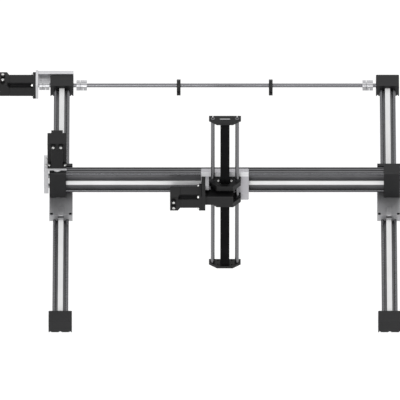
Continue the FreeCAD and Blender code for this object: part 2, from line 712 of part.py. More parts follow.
beam_span = ("-beam_end", "beam_end")
beam_outline = [
    ("beam_back", "beam_z - beam_half"), ("beam_back", "beam_z + beam_half"),
    ("beam_seat", "beam_z + beam_half"), ("beam_seat", "beam_z + beam_channel_half"),
    ("beam_channel", "beam_z + beam_channel_half"), ("beam_channel", "beam_z - beam_channel_half"),
    ("beam_seat", "beam_z - beam_channel_half"), ("beam_seat", "beam_z - beam_half"),
]
beam_hollow = around("beam_return", "chamber_height / 2")
hollows = [box(beam_span, beam_hollow, around("beam_z", "chamber_width / 2"))]
for side in (-1, 1):
    hollows.append(box(beam_span, beam_hollow,
                       around(f"beam_z + {side} * lightening_offset", "lightening_width / 2")))
    slot_middle = f"beam_z + {side} * beam_half"
    hollows += [box(beam_span, around(slot_y, "beam_slot_width / 2"), around(slot_middle, "beam_slot_depth"))
                for slot_y in ("beam_slot_y", "beam_back_slot_y")]
part("beam_profile", cut(prism("x", beam_outline, beam_span), *hollows, beam_rod(-1), beam_rod(1)))
part("beam_rods", group(beam_rod(-1), beam_rod(1)))


def beam_block(sign, axle_cuts):
    """End block of the beam with room for its pulley."""
    reach = ordered(sign, "beam_end", "beam_block_reach")
    blank = block("x", ("-beam_block_front", "beam_block_back"), ("carriage_top", "beam_block_top"), reach,
                  "block_chamfer")
    cavity = box(ordered(sign, "beam_end", "beam_pulley_x + cavity_radius"),
                 around("beam_pulley_y", "cavity_radius"), around("beam_z", "cavity_half"))
    return cut(blank, cavity, *axle_cuts)


beam_drive_line = ("-beam_pulley_x", "beam_pulley_y")
beam_idler_line = ("beam_pulley_x", "beam_pulley_y")
beam_shaft_foot = "beam_z - bearing_end"
beam_bearing_spans = ((beam_shaft_foot, "beam_z - cavity_half"), ("beam_z + cavity_half", "beam_z + bearing_end"))
part("beam_drive_block", beam_block(-1, [
    cylinder("z", beam_drive_line, (beam_shaft_foot, "beam_z + bearing_end"), "bearing_radius"),
    cylinder("z", beam_drive_line, ("beam_z", "beam_block_top"), "shaft_hole")]))
idler_axle_span = around("beam_z", "idler_axle_length / 2")
part("beam_idler_block", beam_block(1, [
    cylinder("z", beam_idler_line, idler_axle_span, "idler_axle_radius")]))
part("beam_idler_axle", cylinder("z", beam_idler_line, idler_axle_span, "idler_axle_radius"))
part("beam_bearings", group(*[
    ring("z", beam_drive_line, span, "bearing_radius", "shaft_radius + running_gap") for span in beam_bearing_spans]))
part("beam_belt", belt("z", ("-beam_pulley_x", "beam_pulley_x"), "beam_pulley_y", around("beam_z", "belt_width / 2")))
beam_idler = fuse(*pulley("z", beam_idler_line, "beam_z"))
part("beam_idler_pulley", cut(beam_idler, cylinder(
    "z", beam_idler_line, around("beam_z", "cavity_half"), "idler_axle_radius + running_gap")))
rise_middle = "(beam_block_top + beam_motor_rise / 2)"
beam_shaft = cylinder("z", beam_drive_line, (beam_shaft_foot, rise_middle), "shaft_radius")
part("beam_drive_pulley", fuse(beam_shaft, *pulley("z", beam_drive_line, "beam_z")))
beam_coupling_span = ("beam_block_top + beam_coupling_gap",
                      "beam_block_top + beam_motor_rise - beam_coupling_gap")
beam_motor_shaft = cylinder("z", beam_drive_line, (rise_middle, "beam_bracket_top"), "shaft_radius")
part("beam_coupling", group(
    coupling("z", beam_drive_line, beam_coupling_span, "beam_coupling_radius", "shaft_radius"), beam_motor_shaft))

motor("beam_motor", "z", 1, "beam_bracket_top", beam_drive_line, "y", -1)
side_plate_x = ("-(side_plate_inside + side_plate_thickness)", "-side_plate_inside")
bracket_y = around("beam_pulley_y", "motor_half")
top_plate = box((side_plate_x[0], "-beam_pulley_x + motor_half"), bracket_y,
                ("beam_bracket_top - bracket_thickness", "beam_bracket_top"))
side_plate = box(side_plate_x, bracket_y, ("beam_bracket_top - side_plate_drop", "beam_bracket_top"))
bosses = [cylinder("x", ("beam_pulley_y", f"beam_z + {step} * boss_spacing / 2"),
                   ("-side_plate_inside", "-beam_block_reach"), "boss_radius") for step in (-1, 1)]
part("beam_motor_bracket", cut(fuse(top_plate, side_plate, *bosses), cylinder(
    "z", beam_drive_line, ("beam_bracket_top - bracket_thickness", "beam_bracket_top"), "shaft_hole")))


# Trolley
part("trolley_plate", block("y", around("0", "trolley_width / 2"), around("trolley_z", "trolley_height / 2"),
                            ("trolley_front", "trolley_back"), "trolley_chamfer"))
trolley_housings = []
trolley_liners = []
liner_y = "beam_rod_y + liner_opening"
for side in (-1, 1):
    rod_z = f"(beam_z + {side} * beam_rod_spacing / 2)"
    shift = f"{side} * trolley_housing_shift"
    outer = box(around("0", "trolley_housing_length / 2"), ("trolley_back", liner_y),
                around(f"{rod_z} + {shift}", "trolley_housing_height / 2"))
    bore = beam_rod(side, "liner_radius", around("0", "trolley_housing_length / 2"))
    trolley_housings.append(cut(outer, bore))
    for step in (-1, 1):
        middle = f"({step} * (trolley_housing_length / 2 - liner_margin - trolley_liner_length / 2))"
        span = around(middle, "trolley_liner_length / 2")
        opening = box(span, (liner_y, "beam_rod_y + liner_radius"), around(rod_z, "liner_radius"))
        shell = ring("x", ("beam_rod_y", rod_z), span, "liner_radius", "rod_radius + running_gap")
        trolley_liners.append(cut(shell, opening))
part("trolley_housings", group(*trolley_housings))
part("trolley_bushes", group(*trolley_liners))
part("trolley_belt_clamp", box(around("0", "trolley_clamp_length / 2"),
                               ("trolley_back", "beam_belt_face - belt_gap"), around("beam_z", "belt_width / 2")))


def guide_plate(top):
    """Plate with two bush bores and a window for the rack."""
    front = "trolley_front - guide_depth"
    half = [
        ("ram_width / 2 - guide_corner", front), ("ram_width / 2", f"{front} + guide_corner"),
        ("ram_width / 2", "trolley_front"),
    ]
    span = (f"{top} - guide_thickness", top)
    bores = [cylinder("z", (f"{step} * ram_rod_x", "ram_rod_y"), span, "ram_rod_radius + guide_liner_wall")
             for step in (-1, 1)]
    window = box(around("0", "window_half"),
                 ("pinion_y + pitch_radius - gear_module - rack_window_gap", "rack_back + rack_window_gap"), span)
    return cut(prism("z", mirrored(half), span), window, *bores)


def guide_liners(top):
    return [ring("z", (f"{step} * ram_rod_x", "ram_rod_y"), (f"{top} - guide_thickness", top),
                 "ram_rod_radius + guide_liner_wall", "ram_rod_radius + running_gap") for step in (-1, 1)]


part("upper_guide", guide_plate("upper_guide_top"))
part("lower_guide", guide_plate("lower_guide_top"))
part("guide_bushes", group(*guide_liners("upper_guide_top"), *guide_liners("lower_guide_top")))

PINION_LINE = ("pinion_y", "pinion_z")
drive_z = around("pinion_z", "drive_box_half")
drive_box = block("x", ("drive_box_front", "drive_box_rear"), drive_z, ("-drive_box_left", "drive_box_right"),
                  "trolley_chamfer")
cheeks = [box(ordered(step, "cheek_inside", "drive_box_right"), ("pinion_y", "trolley_front"), drive_z)
          for step in (-1, 1)]
drive_plate = block("x", ("pinion_y - motor_half", "trolley_front"), ("pinion_z - motor_half", "upper_guide_top"),
                    ("-(drive_box_left + drive_flange)", "-drive_box_left"), "flange_corner")
part("guide_spacer", box(("-drive_box_left", "-ram_width / 2"), ("spacer_front", "trolley_front"),
                         ("upper_guide_top - guide_thickness", "upper_guide_top")))
pinion_room = box(around("0", "cheek_inside"), ("drive_box_front + drive_box_wall", "trolley_front"),
                  around("pinion_z", "drive_box_half - drive_box_wall"))
rack_room = box(around("0", "cheek_inside"), ("pinion_y + pitch_radius - tooth_room", "trolley_front"), drive_z)
drive_bore = cylinder("x", PINION_LINE, ("-(drive_box_left + drive_flange)", "drive_box_right"),
                      "shaft_radius + running_gap")
part("ram_drive_housing", cut(fuse(drive_box, drive_plate, *cheeks), pinion_room, rack_room, drive_bore))
motor("ram_motor", "x", -1, "-(drive_box_left + drive_flange)", PINION_LINE, "y", -1)


# Rack and pinion teeth
module = value("gear_module")
teeth = int(round(value("gear_teeth")))
pitch = math.pi * module
pitch_radius = value("pitch_radius")
# Half widths of a tooth at its root and tip, as shares of the pitch
ROOT_SHARE = 0.30
TIP_SHARE = 0.15
# Depth below and height above the pitch line, in modules
ROOT_DEPTH = 1.15
TIP_HEIGHT = 0.85
TOOTH = ((-ROOT_SHARE, -ROOT_DEPTH), (-TIP_SHARE, TIP_HEIGHT), (TIP_SHARE, TIP_HEIGHT), (ROOT_SHARE, -ROOT_DEPTH))


def pinion_outline():
    """Straight-sided teeth round the pitch circle, with a gap facing the rack."""
    points = []
    for tooth in range(teeth):
        middle = math.pi / 2 + (tooth + 0.5) * 2 * math.pi / teeth
        for share, depth in TOOTH:
            angle = middle + share * pitch / pitch_radius
            radius = pitch_radius + depth * module
            points.append(Vector(0, radius * math.sin(angle), -radius * math.cos(angle)))
    return points


def rack_outline(low, high, back, line, phase):
    """Straight-sided teeth along the pitch line, one of them level with the pinion."""
    points = [Vector(0, back, high), Vector(0, back, low), Vector(0, line + ROOT_DEPTH * module, low)]
    first = math.ceil((low + pitch / 2 - phase) / pitch)
    last = math.floor((high - pitch / 2 - phase) / pitch)
    for tooth in range(first, last + 1):
        for share, depth in TOOTH:
            points.append(Vector(0, line - depth * module, phase + (tooth + share) * pitch))
    points.append(Vector(0, line + ROOT_DEPTH * module, high))
    return points


def toothed(label, points, length):
    wire = Part.makePolygon(points + points[:1])
    item = doc.addObject("Part::Feature", label)
    item.Shape = Part.Face(wire).extrude(Vector(length, 0, 0))
    return item


rack_width = value("rack_width")
pinion_teeth = toothed("PinionTeeth", pinion_outline(), rack_width)
pinion_teeth.Placement = Placement(Vector(-rack_width / 2, value("pinion_y"), value("pinion_z")), Rotation())
pinion_shaft = cylinder("x", PINION_LINE, ("-(drive_box_left + drive_flange)", "drive_box_right"), "shaft_radius")
part("drive_pinion", fuse(pinion_teeth, pinion_shaft))

rack = toothed("RackTeeth", rack_outline(
    value("ram_bottom + ram_plate_thickness"), value("ram_top - ram_plate_thickness"), value("rack_back"),
    value("pinion_y + pitch_radius"), value("pinion_z")), rack_width)
rack.Placement = Placement(Vector(-rack_width / 2, 0, 0), Rotation())
part("ram_rack", rack)


# Ram
def ram_rod(sign, span):
    return cylinder("z", (f"{sign} * ram_rod_x", "ram_rod_y"), span, "ram_rod_radius")


def ram_plate(span, holes):
    half = [
        ("ram_plate_nose / 2", "ram_plate_front"), ("ram_width / 2", "ram_plate_shoulder"),
        ("ram_width / 2", "ram_plate_back"),
    ]
    slits = [box(around(f"{step} * ram_rod_x", "clamp_slit / 2"), ("ram_rod_y", "ram_plate_back"), span)
             for step in (-1, 1)]
    return cut(prism("z", mirrored(half), span), *slits, ram_rod(-1, span), ram_rod(1, span), *holes)


bottom_span = ("ram_bottom", "ram_bottom + ram_plate_thickness")
tool_y = "(ram_plate_back + ram_plate_front) / 2"
tool_holes = [cylinder("z", (f"{across} * tool_hole_x / 2", f"{tool_y} + {deep} * tool_hole_y / 2"), bottom_span,
                       "tool_hole_radius") for across in (-1, 1) for deep in (-1, 1)]
part("ram_rods", group(ram_rod(-1, ("ram_bottom", "ram_top")), ram_rod(1, ("ram_bottom", "ram_top"))))
part("ram_top_plate", ram_plate(("ram_top - ram_plate_thickness", "ram_top"), []))
part("ram_bottom_plate", ram_plate(bottom_span, tool_holes))

doc.recompute()

# Check every object before anything is written
for item in doc.Objects:
    if {"Invalid", "Error"} & set(item.State):
        raise RuntimeError(f"{item.Name} ({item.Label}) failed: {item.State}")
labels = [item.Label for item in parts]
if len(labels) != len(set(labels)):
    raise RuntimeError("two sub-parts share a name")
for item in parts:
    if item.Shape.isNull() or not item.Shape.isValid() or not item.Shape.Solids:
        raise RuntimeError(f"{item.Label} has no valid shape")

os.makedirs("parts", exist_ok=True)
for item in parts:
    item.Shape.exportStep(f"parts/{item.Label}.step")
    print(item.Label, len(item.Shape.Solids), round(item.Shape.Volume))
print(len(parts), "nodes")
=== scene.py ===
"""Looks of the gantry robot: finishes, broken edges, motor details, screws, lights and camera.

Metres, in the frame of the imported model. X runs along the beam, Y along the rails, Z up.
"""
import json
import math

import bmesh
import bpy
from bpy.props import FloatProperty, FloatVectorProperty, PointerProperty
from mathutils import Matrix, Vector


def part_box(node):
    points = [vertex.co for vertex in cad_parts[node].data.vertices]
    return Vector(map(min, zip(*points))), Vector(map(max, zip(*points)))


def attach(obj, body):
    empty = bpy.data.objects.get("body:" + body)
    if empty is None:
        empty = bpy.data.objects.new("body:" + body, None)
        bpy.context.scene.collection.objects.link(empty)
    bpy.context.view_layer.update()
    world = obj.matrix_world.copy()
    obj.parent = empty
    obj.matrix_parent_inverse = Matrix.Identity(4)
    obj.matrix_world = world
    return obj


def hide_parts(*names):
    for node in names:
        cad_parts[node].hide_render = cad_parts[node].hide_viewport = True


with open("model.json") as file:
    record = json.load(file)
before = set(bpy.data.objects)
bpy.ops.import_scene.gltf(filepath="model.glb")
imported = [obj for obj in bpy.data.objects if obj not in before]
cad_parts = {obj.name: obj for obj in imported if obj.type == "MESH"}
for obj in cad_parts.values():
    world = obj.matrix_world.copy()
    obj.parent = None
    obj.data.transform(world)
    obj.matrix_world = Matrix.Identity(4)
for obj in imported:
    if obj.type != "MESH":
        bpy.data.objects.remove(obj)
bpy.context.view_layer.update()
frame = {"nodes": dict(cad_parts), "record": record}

bl_info = {
    "name": "Gantry robot",
    "version": (1, 0, 0),
    "blender": (4, 5, 0),
    "location": "View3D > Sidebar > Gantry",
    "description": "Finishes, edges, motor details, screws and stage of the packed gantry robot",
    "category": "Object",
}

NODES = frame["nodes"]
RECORD = frame["record"]
BODY_OF = {node: body for body, nodes in RECORD["behaviour"]["bodies"].items() for node in nodes}

MM = 0.001
# Corners closer than this are one corner, and faces flatter than this are one face
MERGE = 1e-6
FLAT = math.radians(0.8)
# An edge sharper than this is broken, and one sharper than CREASE is drawn sharp. CREASE is under the 22.5
# degrees between a face and its broken edge, so that the edge doesn't tilt the shading of the whole face.
# Chamfers of 45 degrees are left as they are for the same reason.
HARD = math.radians(50)
CREASE = math.radians(20)
# Noise keeps mostly between these two, and the slow drift's patches are about 70 mm across
NOISE_LOW = 0.3
NOISE_HIGH = 0.7
DRIFT = 14.0
# Screws: smaller ones as a share of M5, then a head's parts as shares of its radius or its height
SMALL_SCREW = 0.6
GUIDE_SCREW = 0.8
SHANK_RADIUS = 0.58
SOCKET_RADIUS = 0.52
TOP_RADIUS = 0.88
CHAMFER_HEIGHT = 0.86
SOCKET_DEPTH = 0.55
# From here to the stage, sizes are in millimetres and places in the robot's own frame.
# Radii and heights of the rod ends' rings and of the connectors' pins:
ROD_RING = [(0, 0.1), (2.7, 0.1), (2.7, 0.7), (3, 1), (5.6, 1), (6, 0.6), (6, 0), (0, 0)]
PIN = [(0, 0), (0.45, 0), (0.45, 0.7), (0.2, 1), (0, 1)]
PINS = 5
PIN_CIRCLE = 1.8
# Floor of a connector's bore, wall of its bright shell, and the steps that large turned pieces are spun in
BORE_FLOOR = 1.5
SHELL_WALL = 1.2
ROUND = 32
# Screws of the brackets: along Y on the beam's, at X and Z on the back of the rails'
BEAM_BRACKET_SCREWS = (-0.3, 28.7)
BEAM_BRACKET_INSET = 7
BEAM_BRACKET_SINK = 4.2
RAIL_BRACKET_SCREWS = ((-500, 12), (-500, 37), (-535, 12))
RAIL_BRACKET_SINK = 2.5
# Length of a carriage screw under its head
CARRIAGE_SHANK = 19.5
# Strip of painted light on the trolley plate: its thickness and its distance from the plate's edges and the
# guide
STRIP_THICKNESS = 0.8
STRIP_SIDE = 1
STRIP_TOP = 0.6
STRIP_BOTTOM = 0.2
# Screws of the upper guide plate, the ram's rods and the key between them
GUIDE_SCREWS = (-20.7, 20.7)
GUIDE_SCREWS_Y = -36
GUIDE_SINK = 2
ROD_X = 38
ROD_Y = -30.5
ROD_SCREW_SINK = 2.4
KEY_X = 16
KEY_Y = (-33.6, -31)
KEY_SINK = 2
KEY_PROUD = 0.4
# Stage: how strongly the world lights and shows, the floor's glow and its reach in metres
WORLD_LIGHT = 0.65
WORLD_SEEN = 1.0
FLOOR_GLOW = 0.3
FLOOR_REACH = 12
# The point that the camera looks at, in millimetres, how far down it looks, and its lens
LOOK_AT = (-78.1, 0, 34.5)
LOOK_DOWN = math.radians(45)
LENS = 1700
# Soft boxes: one in front for the upright faces, one overhead, one low from behind for the edges.
# Each has its place in metres, its power in watts and its side in metres. They point at LIT.
BOXES = (
    ("FrontBox", (-2.4, -9.2, 5.2), 420, 5.2),
    ("TopBox", (0.8, 0.6, 4.6), 24, 3.0),
    ("BackBox", (0.0, 4.4, 1.8), 14, 2.0),
)
LIT = Vector((0, 0, 0.05))
# Turns that point a piece's Z axis along another axis
TURNS = {
    "+x": Matrix.Rotation(math.radians(90), 4, "Y"),
    "-x": Matrix.Rotation(math.radians(-90), 4, "Y"),
    "-y": Matrix.Rotation(math.radians(90), 4, "X"),
    "+y": Matrix.Rotation(math.radians(-90), 4, "X"),
    "+z": Matrix.Identity(4),
    "-z": Matrix.Rotation(math.radians(180), 4, "X"),
}


def linear(code):
    """Turn an sRGB hex colour to linear numbers."""
    shares = [int(code[start:start + 2], 16) / 255 for start in (1, 3, 5)]
    return [share / 12.92 if share <= 0.04045 else ((share + 0.055) / 1.055) ** 2.4 for share in shares]


def colour(code, title, about):
    """A colour that a user can change."""
    return FloatVectorProperty(name=title, description=about, subtype="COLOR", size=3, min=0, max=1,
                               default=linear(code))


def length(size, title, about):
    """A size that a user can change, given in millimetres."""
    return FloatProperty(name=title, description=about, subtype="DISTANCE", unit="LENGTH", min=0,
                         default=size * MM, precision=5)


class GantryColours(bpy.types.PropertyGroup):
    black_anodised: colour("#1D1D1E", "Black anodised", "End blocks, supports and adapters")
    trolley_black: colour("#121213", "Deep black anodised", "Guide plates, drive housing, ram's end plates")
    extruded: colour("#6C6C6E", "Extruded profile", "Rail and beam profiles")
    carriage: colour("#A9A9AB", "Carriage plate", "Carriage plates and the block beside the guide")
    # On the rail belt clamps this colour is partly painted light, against the shade of the recess they sit
    # in
    clear_anodised: colour("#C4C4C6", "Clear anodised", "Motor brackets, rail belt clamps and ram's key")
    trolley: colour("#B4B3B7", "Trolley plate", "Trolley plate and its bearing housings")
    ground_steel: colour("#6C6C6E", "Ground steel", "Guide rods of the rails")
    # The same ground steel as the rails', drawn darker: painted shade on the beam's rods
    beam_steel_painted_shade: colour("#555557", "Ground steel, painted shade on the beam", "Guide rods of the beam")
    chromed_steel: colour("#737375", "Chromed steel", "Rods of the ram and the rings at their ends")
    bright_steel: colour("#707073", "Bright steel", "Drive shaft, pulleys and bearings")
    turned: colour("#A4A4A6", "Turned aluminium", "Couplings of the shaft and the rail motor")
    # Near white for a painted highlight on the beam's coupling and the trolley's strip
    pale_aluminium_painted_highlight: colour("#E0E0E2", "Pale aluminium, painted highlight", "Coupling of the beam and strip of the trolley")
    belt: colour("#EDEDED", "Belt", "Toothed belts")
    enamel: colour("#0D0D0E", "Motor enamel", "Motors")
    black_oxide: colour("#29292A", "Black oxide", "Rack and dark screws")
    nickel: colour("#D2D2D1", "Nickel and zinc", "Connectors and bright screws")
    bush: colour("#3A3B3E", "Bush polymer", "Plain and linear bushes")
    floor: colour("#F2F2F2", "Floor", "Floor under the robot")


class GantrySizes(bpy.types.PropertyGroup):
    plate_edge: length(0.8, "Plate edge", "Broken edge of blocks and plates")
    fine_edge: length(0.4, "Fine edge", "Broken edge of small parts")
    motor_edge: length(1.2, "Motor edge", "Rounded edge of the motors' castings")
    screw_radius: length(4.3, "Screw head radius", "M5 socket head")
    screw_height: length(5, "Screw head height", "M5 socket head")
    screw_inset: length(7, "Screw inset", "Carriage screws from the plate's edges")
    motor_screws: length(48.6, "Motor screw spacing", "Screws of a motor flange, both ways")
    motor_flange: length(9, "Motor flange", "Thickness of a motor flange")
    connector_bore: length(4.7, "Connector bore", "Inside of a round connector")
    floor_depth: length(490, "Floor depth", "Floor below the mounting plane, clear of the lowered ram")
    view_distance: length(59330, "Camera distance", "From the camera to the point that it looks at")


def add(tree, kind, inputs=(), **settings):
    """Add a node with its settings, then set or link its inputs."""
    node = tree.nodes.new(kind)
    for key, setting in settings.items():
        setattr(node, key, setting)
    for key, source in dict(inputs).items():
        if isinstance(source, bpy.types.NodeSocket):
            tree.links.new(source, node.inputs[key])
        else:
            node.inputs[key].default_value = source
    return node


def surface(name, base, metallic, roughness, grain, relief, contrast=0.16, specular=0.5):
    """A finish whose grain has a real size in millimetres along X, Y and Z.

    The grain and a slow drift over the piece both shift its tone, and the grain alone shifts its roughness
    and its relief.
    """
    material = bpy.data.materials.new(name)
    material.use_nodes = True
    tree = material.node_tree
    tree.nodes.clear()
    place = add(tree, "ShaderNodeTexCoord").outputs["Object"]
    scaled = add(tree, "ShaderNodeMapping", {"Vector": place, "Scale": [1 / (size * MM) for size in grain]})
    fine = add(tree, "ShaderNodeTexNoise", {
        "Vector": scaled.outputs["Vector"], "Scale": 1.0, "Detail": 2.0})
    drift = add(tree, "ShaderNodeTexNoise", {"Vector": place, "Scale": DRIFT, "Detail": 2.0})
    mixed = add(tree, "ShaderNodeMath", {0: fine.outputs["Fac"], 1: drift.outputs["Fac"]}, operation="ADD")
    dark = [share * (1 - contrast) for share in base] + [1]
    light = [min(1, share * (1 + contrast)) for share in base] + [1]
    share = add(tree, "ShaderNodeMapRange", {
        "Value": mixed.outputs[0], "From Min": 2 * NOISE_LOW, "From Max": 2 * NOISE_HIGH})
    tone = add(tree, "ShaderNodeMix", {0: share.outputs[0], 6: dark, 7: light}, data_type="RGBA")
    gloss = add(tree, "ShaderNodeMapRange", {
        "Value": fine.outputs["Fac"], "From Min": NOISE_LOW, "From Max": NOISE_HIGH,
        "To Min": roughness[0], "To Max": roughness[1]})
    bump = add(tree, "ShaderNodeBump", {
        "Height": fine.outputs["Fac"], "Distance": relief * MM, "Strength": 1.0})
    shader = add(tree, "ShaderNodeBsdfPrincipled", {
        "Base Color": tone.outputs[2], "Metallic": metallic, "Roughness": gloss.outputs[0],
        "Specular IOR Level": specular, "Normal": bump.outputs["Normal"]})
    add(tree, "ShaderNodeOutputMaterial", {"Surface": shader.outputs["BSDF"]})
    return material


FINISHES = {}


def make_finishes():
    """Every finish of the robot, by name."""
    tints = bpy.context.scene.gantry_colours
    # Bead blasted, black anodised aluminium: an even dark grey with a soft sheen and no direction.
    # The blast is drawn 1.2 mm coarse so that it shows.
    FINISHES["black_anodised"] = surface("BlackAnodisedAluminium", tints.black_anodised, 0.5, (0.42, 0.52),
                                         (1.2, 1.2, 1.2), 0.008)
    # The same on the trolley and the ram, dyed deeper
    FINISHES["deep_black"] = surface("DeepBlackAnodisedAluminium", tints.trolley_black, 0.5, (0.42, 0.52),
                                     (1.2, 1.2, 1.2), 0.008)
    # Extruded aluminium, anodised: fine die lines run along the profile, drawn 1 mm apart.
    # The oxide layer scatters, so it is half metal and half matt.
    FINISHES["rail_extrusion"] = surface("ExtrudedAluminiumRail", tints.extruded, 0.5, (0.36, 0.48),
                                         (1.0, 180, 1.0), 0.01)
    FINISHES["beam_extrusion"] = surface("ExtrudedAluminiumBeam", tints.extruded, 0.5, (0.36, 0.48),
                                         (180, 1.0, 1.0), 0.01)
    # Milled aluminium plate, grey anodised: a satin that mirrors the beam block standing on it
    FINISHES["carriage"] = surface("MilledAluminiumCarriage", tints.carriage, 0.8, (0.37, 0.45),
                                   (1.4, 24, 1.4), 0.004, contrast=0.08)
    # Clear anodised aluminium plate, brushed upright or along: pale, with short fine scratches
    FINISHES["bracket"] = surface("BrushedAluminiumBracket", tints.clear_anodised, 1.0, (0.34, 0.46),
                                  (1.0, 14, 14), 0.015, contrast=0.08)
    # The trolley's coat is duller, so that it hardly mirrors the guide plates in front of it
    FINISHES["trolley"] = surface("BrushedAluminiumTrolley", tints.trolley, 0.4, (0.46, 0.56),
                                  (0.9, 20, 20), 0.012, contrast=0.08)
    # Hardened and ground steel: close rings round the rod, drawn 0.8 mm apart. The beam's rods take a
    # darker copy of the rails' steel: painted shade
    for axis, grain, tint in (("x", (0.8, 30, 30), tints.beam_steel_painted_shade),
                              ("y", (30, 0.8, 30), tints.ground_steel),
                              ("z", (30, 30, 0.8), tints.chromed_steel)):
        FINISHES["rod_" + axis] = surface("GroundSteelRod" + axis.upper(), tint, 1.0, (0.22, 0.32),
                                          grain, 0.002, contrast=0.06)
    FINISHES["shaft"] = surface("GroundSteelShaft", tints.bright_steel, 1.0, (0.14, 0.24),
                                (0.8, 30, 30), 0.003, contrast=0.08)
    # Turned aluminium: bright, with the tool's rings
    FINISHES["turned_x"] = surface("TurnedAluminiumX", tints.turned, 1.0, (0.22, 0.34), (0.6, 30, 30), 0.01,
                                   contrast=0.08)
    # Aluminium drawn near white, and too dull to mirror the black plates round it: a painted highlight. On
    # the beam's coupling it stands for a bright reflection, and on the trolley's strip for the lit upper
    # part of the plate's face
    FINISHES["pale_aluminium_painted_highlight"] = surface("PaleAluminiumPaintedHighlight", tints.pale_aluminium_painted_highlight, 0.2, (0.5, 0.6), (0.9, 0.9, 0.9), 0.01,
                                  contrast=0.08)
    # Cast polyurethane with steel cords: off-white satin, the cords just show as lines along the belt
    FINISHES["rail_belt"] = surface("PolyurethaneRailBelt", tints.belt, 0.0, (0.42, 0.55),
                                    (2.2, 400, 2.2), 0.03, contrast=0.07)
    FINISHES["beam_belt"] = surface("PolyurethaneBeamBelt", tints.belt, 0.0, (0.42, 0.55),
                                    (400, 2.2, 2.2), 0.03, contrast=0.07)
    # Powder coat on cast aluminium: near black, a fine orange peel drawn at 1.6 mm
    FINISHES["enamel"] = surface("BlackPowderCoat", tints.enamel, 0.0, (0.4, 0.52), (1.6, 1.6, 1.6), 0.03,
                                 specular=0.26)
    # Black oxide on steel: dark, with an oily satin
    FINISHES["black_oxide"] = surface("BlackOxideSteel", tints.black_oxide, 1.0, (0.36, 0.5),
                                      (0.9, 9, 9), 0.01)
    # Nickel or zinc plate: bright and slightly hazy
    FINISHES["nickel"] = surface("NickelPlate", tints.nickel, 1.0, (0.2, 0.32), (1.0, 1.0, 1.0), 0.004,
                                 contrast=0.06)
    # Moulded bearing polymer: matt dark grey
    FINISHES["bush"] = surface("MouldedPolymerBush", tints.bush, 0.0, (0.5, 0.62), (1.1, 1.1, 1.1), 0.02)


def merged(node):
    """A CAD node's mesh with its loose triangles joined into whole faces."""
    mesh = bmesh.new()
    mesh.from_mesh(NODES[node].data)
    bmesh.ops.remove_doubles(mesh, verts=mesh.verts, dist=MERGE)
    bmesh.ops.dissolve_limit(mesh, angle_limit=FLAT, use_dissolve_boundaries=False, verts=mesh.verts,
                             edges=mesh.edges)
    return mesh


def finished(name, mesh, body, finish, stands_for=()):
    """Turn a bmesh into a piece that rides on a body."""
    bmesh.ops.recalc_face_normals(mesh, faces=mesh.faces)
    data = bpy.data.meshes.new(name)
    mesh.to_mesh(data)
    mesh.free()
    for layer in ("custom_normal", "sharp_edge", "sharp_face"):
        if layer in data.attributes:
            data.attributes.remove(data.attributes[layer])
    data.shade_smooth()
    data.set_sharp_from_angle(angle=CREASE)
    data.materials.clear()
    data.materials.append(FINISHES[finish])
    piece = bpy.data.objects.new(name, data)
    bpy.context.scene.collection.objects.link(piece)
    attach(piece, body)
    if stands_for:
        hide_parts(*stands_for)
    return piece


def break_edges(nodes, finish, width):
    """Stand a copy with broken edges in for each node."""
    for node in nodes:
        mesh = merged(node)
        hard = [edge for edge in mesh.edges if edge.is_manifold and edge.calc_face_angle() > HARD]
        bmesh.ops.bevel(mesh, geom=hard, offset=width, offset_type="OFFSET", segments=2, profile=0.5,
                        affect="EDGES", clamp_overlap=True, material=-1)
        finished(node + "_finished", mesh, BODY_OF[node], finish, [node])


def paint(nodes, finish):
    """Give CAD nodes their finish."""
    for node in nodes:
        for slot in NODES[node].material_slots:
            slot.material = FINISHES[finish]


def made_since(before, mesh):
    """The vertices that a mesh has beyond those it had before."""
    return [vert for vert in mesh.verts if vert not in before]


def turned(mesh, outline, place, steps=24):
    """Spin an outline of radii and heights in millimetres round Z and put it in place."""
    before = set(mesh.verts)
    points = [mesh.verts.new((radius * MM, 0, height * MM)) for radius, height in outline]
    edges = [mesh.edges.new(pair) for pair in zip(points, points[1:])]
    bmesh.ops.spin(mesh, geom=points + edges, cent=(0, 0, 0), axis=(0, 0, 1), dvec=(0, 0, 0),
                   angle=math.tau, steps=steps, use_merge=True, use_duplicate=False)
    bmesh.ops.remove_doubles(mesh, verts=made_since(before, mesh), dist=MERGE)
    new = made_since(before, mesh)
    bmesh.ops.transform(mesh, matrix=place, verts=new)
    return new


def socket_screw(mesh, place, shank=0):
    """A socket head on its shank: a turned head, bridged to a six-sided socket."""
    sizes = bpy.context.scene.gantry_sizes
    radius = sizes.screw_radius / MM
    height = sizes.screw_height / MM
    before = set(mesh.verts)
    outline = [(0, 0), (radius, 0), (radius, CHAMFER_HEIGHT * height), (TOP_RADIUS * radius, height)]
    if shank:
        outline = [(0, -shank), (SHANK_RADIUS * radius, -shank), (SHANK_RADIUS * radius, 0)] + outline[1:]
    head = turned(mesh, outline, Matrix.Identity(4))
    top = height * MM
    socket = bmesh.ops.create_circle(mesh, cap_ends=False, radius=SOCKET_RADIUS * radius * MM, segments=6,
                                     matrix=Matrix.Translation((0, 0, top)))["verts"]
    rim = [edge for edge in {edge for vert in head for edge in vert.link_edges} if edge.is_boundary]
    hexagon = list({edge for vert in socket for edge in vert.link_edges})
    bmesh.ops.bridge_loops(mesh, edges=rim + hexagon)
    walls = bmesh.ops.extrude_edge_only(mesh, edges=hexagon)["geom"]
    low = [item for item in walls if isinstance(item, bmesh.types.BMVert)]
    bmesh.ops.translate(mesh, verts=low, vec=(0, 0, -SOCKET_DEPTH * top))
    bmesh.ops.contextual_create(mesh, geom=low)
    bmesh.ops.transform(mesh, matrix=place, verts=made_since(before, mesh))


def smaller(place, share):
    """The same place for a piece of a share of its size."""
    return place @ Matrix.Scale(share, 4)


